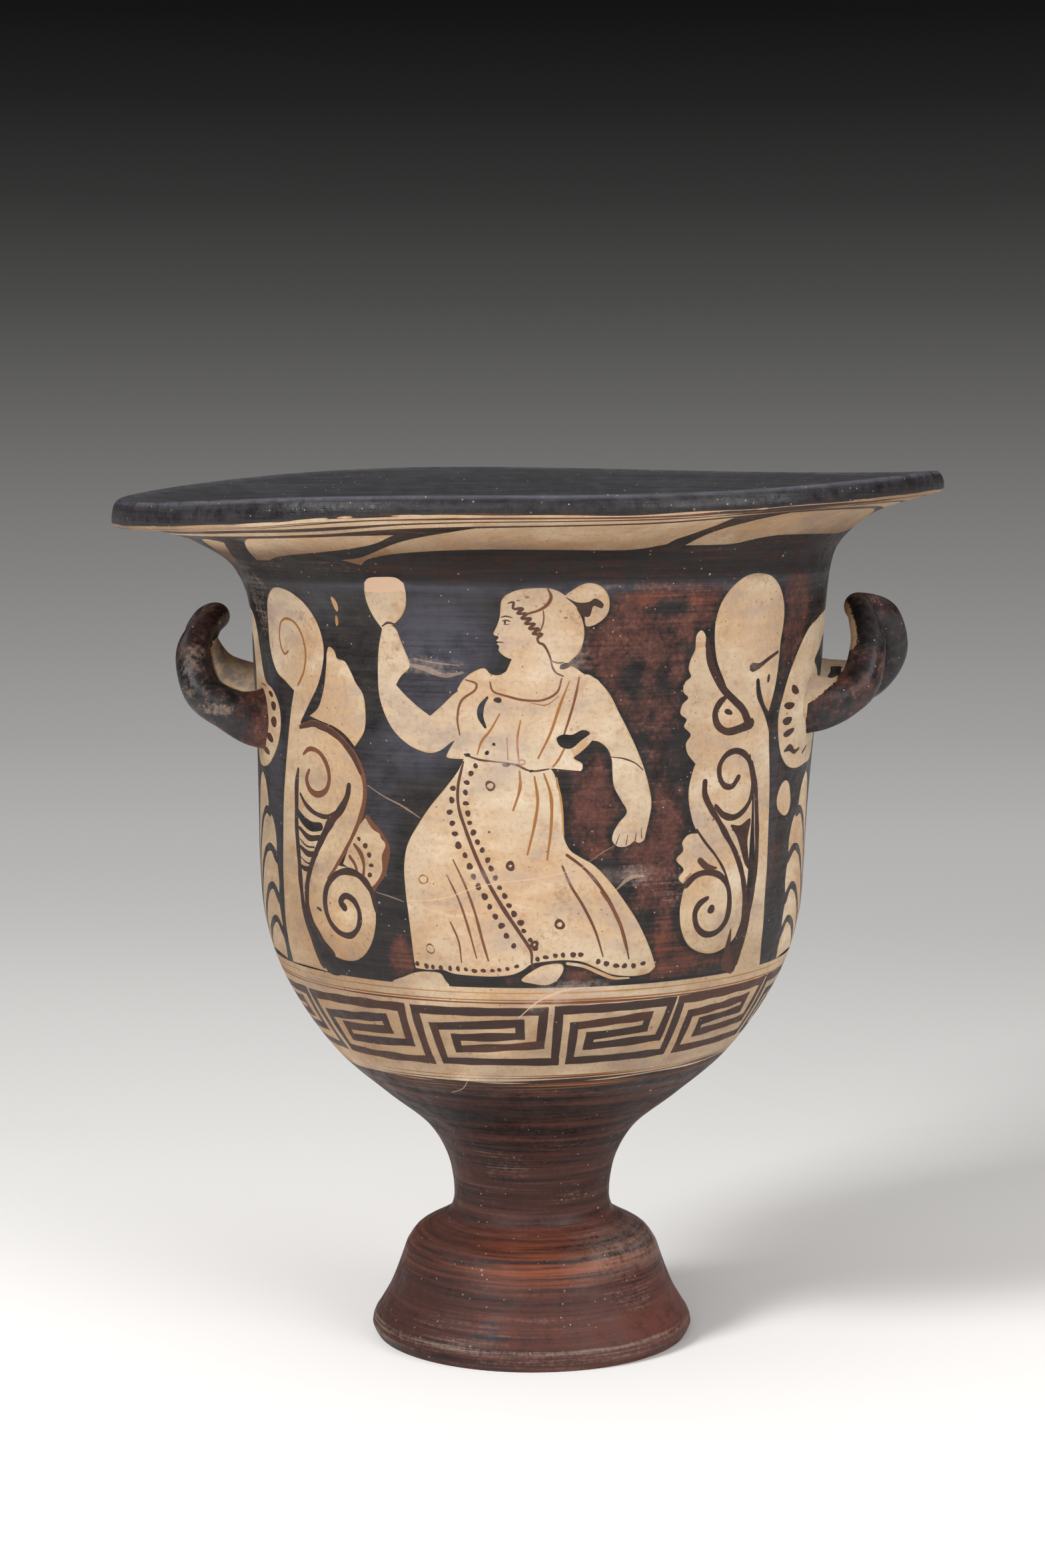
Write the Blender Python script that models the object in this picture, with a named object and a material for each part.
"""Bell krater: a wide mixing bowl on a stemmed foot, with an upturned loop handle on each side.

The pot is one fired piece of clay. A turned vessel, hollow and open at the top over a foot that is hollow
from below, has two hand-rolled handles luted to its wall. Its lip warped in the kiln, and its axis wanders
a little. Metres, +Z up, the painted front faces -Y, and the origin is on the ground under the mouth.
"""
import math

import bmesh
import bpy
from mathutils import Vector

SIDES = 60                 # flat sides around the turned body
ROD_SIDES = 12             # flat sides around a handle's rod
ROD_STEPS = 2              # rings between two stations of a handle
MERGE = 0.00001

# The turned profile as (radius, height), in runs that meet at corners. Each run is a smooth curve, followed
# from the ground up the outside, over the lip, down the inside and, for the hollow foot, down again.
FOOT_EDGE = ((0.0672, 0.0000), (0.0692, 0.0040), (0.0682, 0.0078))
FOOT_CONE = ((0.0674, 0.0088), (0.0620, 0.0180), (0.0586, 0.0260), (0.0542, 0.0385))
FOOT_SHOULDER = ((0.0542, 0.0385), (0.0500, 0.0442), (0.0412, 0.0492), (0.0355, 0.0530), (0.0335, 0.0580))
BOWL = ((0.0335, 0.0580), (0.0338, 0.0655), (0.0366, 0.0780), (0.0449, 0.0920), (0.0642, 0.1080),
        (0.0835, 0.1250), (0.0985, 0.1450), (0.1089, 0.1650), (0.1144, 0.1850), (0.1161, 0.2050),
        (0.1169, 0.2300), (0.1185, 0.2620), (0.1207, 0.2950), (0.1214, 0.3110), (0.1228, 0.3210))
FLARE = ((0.1228, 0.3210), (0.1250, 0.3300), (0.1285, 0.3376), (0.1344, 0.3433), (0.1440, 0.3497),
         (0.1564, 0.3540), (0.1690, 0.3573))
LIP = ((0.1690, 0.3573), (0.1727, 0.3581), (0.1748, 0.3603), (0.1744, 0.3630), (0.1731, 0.3655),
       (0.1705, 0.3665))
INSIDE = ((0.1705, 0.3665), (0.1550, 0.3622), (0.1412, 0.3570), (0.1302, 0.3492), (0.1231, 0.3417),
          (0.1189, 0.3323), (0.1156, 0.3120), (0.1148, 0.2950), (0.1127, 0.2620), (0.1110, 0.2300),
          (0.1099, 0.2050), (0.1073, 0.1850), (0.1015, 0.1640), (0.0905, 0.1440), (0.0745, 0.1265),
          (0.0545, 0.1120), (0.0300, 0.1020), (0.0000, 0.0985))
FOOT_HOLLOW = ((0.0000, 0.0890), (0.0110, 0.0880), (0.0200, 0.0840), (0.0225, 0.0750), (0.0225, 0.0620),
               (0.0240, 0.0530), (0.0310, 0.0460), (0.0410, 0.0380), (0.0460, 0.0280), (0.0520, 0.0140),
               (0.0575, 0.0040), (0.0600, 0.0000))
# Each outer run with its number of rings between two stations.
OUTER_RUNS = ((FOOT_EDGE, 2), (FOOT_CONE, 1), (FOOT_SHOULDER, 2), (BOWL, 1), (FLARE, 1), (LIP, 1),
              (INSIDE, 1))

# The lip's rise above its mean height, as (times round, cosine part, sine part) of the azimuth from +X: the
# mouth sags on the left and stands up at the back and right. It starts where the flare leaves the wall.
LIP_WARP = ((1, 0.0043, 0.0027), (2, -0.0013, -0.0014), (3, 0.0012, -0.0003))
WARP_START = 0.315
WARP_FULL = 0.362
# How far the axis stands to the right of the mouth's centre, as (offset, height).
AXIS_WANDER = ((0.0019, 0.00), (0.0019, 0.20), (0.0044, 0.31), (0.0000, 0.36), (0.0000, 0.40))

# The handles were rolled and bent by hand, so no two limbs match. A limb's stations run from its root in
# the wall towards the apex as (out, across, up, half height, half width): out from the vessel's axis, and
# across from the handle's middle plane.
LEFT_FRONT_LIMB = ((0.1095, 0.0375, 0.2696, 0.0145, 0.0085), (0.1175, 0.0403, 0.2698, 0.0135, 0.0090),
                   (0.1270, 0.0388, 0.2732, 0.0092, 0.0085), (0.1388, 0.0350, 0.2815, 0.0084, 0.0081),
                   (0.1430, 0.0285, 0.2945, 0.0078, 0.0076), (0.1400, 0.0165, 0.3058, 0.0066, 0.0064))
LEFT_BACK_LIMB = ((0.1095, 0.0375, 0.2742, 0.0135, 0.0085), (0.1175, 0.0403, 0.2745, 0.0125, 0.0088),
                  (0.1270, 0.0392, 0.2795, 0.0084, 0.0080), (0.1400, 0.0355, 0.2860, 0.0078, 0.0078),
                  (0.1462, 0.0285, 0.2975, 0.0073, 0.0072), (0.1430, 0.0160, 0.3065, 0.0064, 0.0062))
LEFT_APEX = (0.1370, 0.0000, 0.3100, 0.0060, 0.0058)
RIGHT_FRONT_LIMB = ((0.1095, 0.0375, 0.2745, 0.0135, 0.0085), (0.1175, 0.0403, 0.2748, 0.0118, 0.0090),
                    (0.1265, 0.0388, 0.2780, 0.0088, 0.0084), (0.1348, 0.0350, 0.2860, 0.0084, 0.0082),
                    (0.1385, 0.0285, 0.2990, 0.0079, 0.0078), (0.1374, 0.0165, 0.3105, 0.0066, 0.0064))
RIGHT_BACK_LIMB = ((0.1095, 0.0375, 0.2785, 0.0130, 0.0085), (0.1175, 0.0405, 0.2788, 0.0120, 0.0090),
                   (0.1310, 0.0405, 0.2790, 0.0098, 0.0090), (0.1450, 0.0380, 0.2808, 0.0090, 0.0086),
                   (0.1532, 0.0310, 0.2930, 0.0082, 0.0078), (0.1498, 0.0175, 0.3085, 0.0068, 0.0066))
RIGHT_APEX = (0.1365, 0.0000, 0.3142, 0.0060, 0.0058)
HANDLES = (("handle_left", -1, LEFT_FRONT_LIMB, LEFT_APEX, LEFT_BACK_LIMB),
           ("handle_right", 1, RIGHT_FRONT_LIMB, RIGHT_APEX, RIGHT_BACK_LIMB))

FIRED_CLAY = (0.20, 0.13, 0.09, 1.0)
CLAY_ROUGHNESS = 0.42
CREASE = math.radians(50)  # edges sharper than this stay sharp in the shading


def clear_scene():
    """Remove whatever the open file holds."""
    for thing in list(bpy.data.objects):
        bpy.data.objects.remove(thing, do_unlink=True)


def blend(before, start, end, after, t):
    """A point of the smooth curve through start and end, t of the way between them."""
    return tuple(
        0.5 * (2 * b + (c - a) * t + (2 * a - 5 * b + 4 * c - d) * t * t + (3 * b - a - 3 * c + d) * t ** 3)
        for a, b, c, d in zip(before, start, end, after))


def smooth(stations, steps):
    """A smooth curve drawn through the stations, as points with steps of them to each gap."""
    first = tuple(2 * a - b for a, b in zip(stations[0], stations[1]))
    last = tuple(2 * a - b for a, b in zip(stations[-1], stations[-2]))
    line = (first,) + tuple(stations) + (last,)
    points = []
    for index in range(1, len(line) - 2):
        for step in range(steps):
            points.append(blend(*line[index - 1:index + 3], step / steps))
    points.append(stations[-1])
    return points


def ease(share):
    """Zero to one with a soft start and end, held at the limits outside."""
    share = min(max(share, 0.0), 1.0)
    return share * share * (3 - 2 * share)


def read_off(stations, height):
    """The value that stations of (value, height) give at a height, eased from one to the next."""
    for (low_value, low), (high_value, high) in zip(stations, stations[1:]):
        if height <= high:
            return low_value + (high_value - low_value) * ease((height - low) / (high - low))
    return stations[-1][0]


def warp(point):
    """Where a point of the true turned form went in drying and firing."""
    azimuth = math.atan2(point.y, point.x)
    rise = sum(cosine * math.cos(times * azimuth) + sine * math.sin(times * azimuth)
               for times, cosine, sine in LIP_WARP)
    rise *= ease((point.z - WARP_START) / (WARP_FULL - WARP_START))
    return Vector((point.x + read_off(AXIS_WANDER, point.z), point.y, point.z + rise))


def spin(mesh, outline):
    """Turn an outline of (radius, height) about the vertical axis."""
    corners = [mesh.verts.new((radius, 0.0, height)) for radius, height in outline]
    edges = [mesh.edges.new(pair) for pair in zip(corners, corners[1:])]
    bmesh.ops.spin(mesh, geom=corners + edges, cent=(0, 0, 0), axis=(0, 0, 1), angle=2 * math.pi,
                   steps=SIDES, use_merge=True, use_duplicate=False)


def finish_mesh(mesh, name, material):
    """Weld a bmesh, turn its faces outward and make an object of it."""
    bmesh.ops.remove_doubles(mesh, verts=mesh.verts[:], dist=MERGE)
    bmesh.ops.recalc_face_normals(mesh, faces=mesh.faces[:])
    data = bpy.data.meshes.new(name)
    mesh.to_mesh(data)
    mesh.free()
    data.materials.append(material)
    data.shade_smooth()
    data.set_sharp_from_angle(angle=CREASE)
    thing = bpy.data.objects.new(name, data)
    bpy.context.scene.collection.objects.link(thing)
    return thing


def turned_vessel(material):
    """The thrown and turned body: foot, stem, bowl and lip, hollow above and below."""
    outline = []
    for stations, steps in OUTER_RUNS:
        outline += smooth(stations, steps)
    mesh = bmesh.new()
    spin(mesh, outline)
    spin(mesh, smooth(FOOT_HOLLOW, 1) + [FOOT_EDGE[0]])
    for vert in mesh.verts:
        vert.co = warp(vert.co)
    return finish_mesh(mesh, "krater", material)


def rod_ring(mesh, centre, tall_axis, wide_axis, tall, wide):
    """One oval ring of a rod."""
    ring = []
    for side in range(ROD_SIDES):
        angle = 2 * math.pi * side / ROD_SIDES
        spoke = tall_axis * tall * math.cos(angle) + wide_axis * wide * math.sin(angle)
        ring.append(mesh.verts.new(centre + spoke))
    return ring


def handle(name, side, front_limb, apex, back_limb, material):
    """A rod rolled by hand, oval and thick at its roots, bent up into a loop."""
    front = [(side * out, -across, *rest) for out, across, *rest in front_limb]
    back = [(side * out, *rest) for out, *rest in (apex,) + back_limb[::-1]]
    stations = smooth(front + back, ROD_STEPS)
    centres = [Vector((out + read_off(AXIS_WANDER, up), across, up)) for out, across, up, *_ in stations]
    mesh = bmesh.new()
    tall_axis = Vector((0, 0, 1))
    rings = []
    for index, centre in enumerate(centres):
        ahead = centres[min(index + 1, len(centres) - 1)] - centres[max(index - 1, 0)]
        ahead.normalize()
        tall_axis = (tall_axis - ahead * tall_axis.dot(ahead)).normalized()
        rings.append(rod_ring(mesh, centre, tall_axis, ahead.cross(tall_axis), *stations[index][3:]))
    for ring, following in zip(rings, rings[1:]):
        for side_index in range(ROD_SIDES):
            beside = (side_index + 1) % ROD_SIDES
            mesh.faces.new((ring[side_index], ring[beside], following[beside], following[side_index]))
    mesh.faces.new(rings[0])
    mesh.faces.new(rings[-1])
    rod = finish_mesh(mesh, name, material)
    # The rod is only there to be joined to the vessel.
    rod.hide_render = True
    rod.display_type = "WIRE"
    return rod


def lute(vessel, rod):
    """Join a rod to the vessel as one body."""
    union = vessel.modifiers.new(rod.name, "BOOLEAN")
    union.operation = "UNION"
    union.solver = "EXACT"
    union.object = rod


def fired_clay():
    """The mean of black gloss and bare clay."""
    material = bpy.data.materials.new("fired_clay")
    material.use_nodes = True
    shader = material.node_tree.nodes["Principled BSDF"]
    shader.inputs["Base Color"].default_value = FIRED_CLAY
    shader.inputs["Roughness"].default_value = CLAY_ROUGHNESS
    shader.inputs["Metallic"].default_value = 0.0
    return material


def main():
    clear_scene()
    material = fired_clay()
    vessel = turned_vessel(material)
    for shape in HANDLES:
        lute(vessel, handle(*shape, material))


main()
